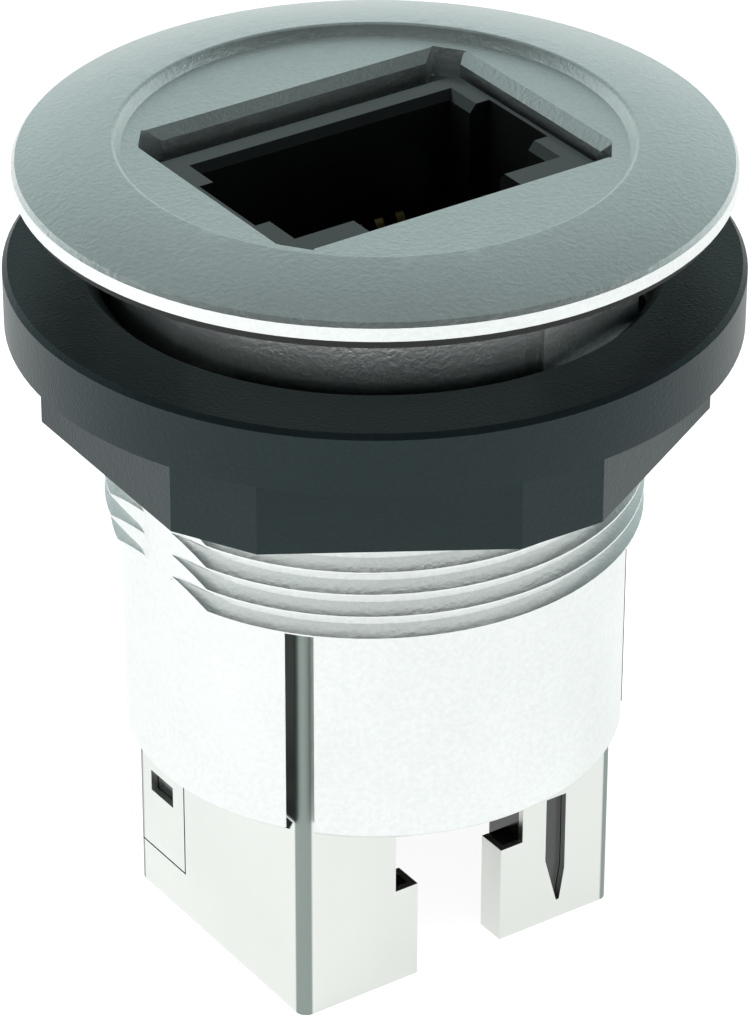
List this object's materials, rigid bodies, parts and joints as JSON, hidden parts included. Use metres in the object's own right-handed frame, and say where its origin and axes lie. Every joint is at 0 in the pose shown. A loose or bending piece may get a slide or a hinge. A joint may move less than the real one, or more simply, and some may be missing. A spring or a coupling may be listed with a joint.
{
  "type": "ethernet jack",
  "caption": "Round feed-through ethernet jack for a 22 mm panel hole: silver bezel and threaded collar, black lock nut and a shielded square housing behind.",
  "frame": {"origin": "centre of the flat rear end, on the axis of the threaded collar", "axes": "+Z along the collar's axis, out of the panel towards the user; +X along the long side of the sockets; -Y is the side of the plug's latch at both ends"},
  "size_m": [0.0294, 0.0294, 0.0356],
  "materials": {
    "silver_housing": "fine pebbled silver",
    "black_gasket": "matte",
    "black_plastic": "satin",
    "steel_shell": "plain plated sheet",
    "black_insulator": "moulded",
    "green_board": "coated",
    "gold_contact": "plated"
  },
  "bodies": {
    "root": {"bezel_housing": "silver_housing", "panel_gasket": "black_gasket", "lock_nut": "black_plastic", "shield_shell": "steel_shell", "front_socket_body": "black_insulator", "rear_socket_body": "black_insulator", "front_contact_carrier": "black_insulator", "rear_contact_carrier": "black_insulator", "circuit_board": "green_board", "front_contact_1": "gold_contact", "front_contact_2": "gold_contact", "front_contact_3": "gold_contact", "front_contact_4": "gold_contact", "front_contact_5": "gold_contact", "front_contact_6": "gold_contact", "front_contact_7": "gold_contact", "front_contact_8": "gold_contact", "rear_contact_1": "gold_contact", "rear_contact_2": "gold_contact", "rear_contact_3": "gold_contact", "rear_contact_4": "gold_contact", "rear_contact_5": "gold_contact", "rear_contact_6": "gold_contact", "rear_contact_7": "gold_contact", "rear_contact_8": "gold_contact", "front_spring_left": "steel_shell", "front_spring_right": "steel_shell", "rear_spring_left": "steel_shell", "rear_spring_right": "steel_shell"}
  },
  "joints": []
}
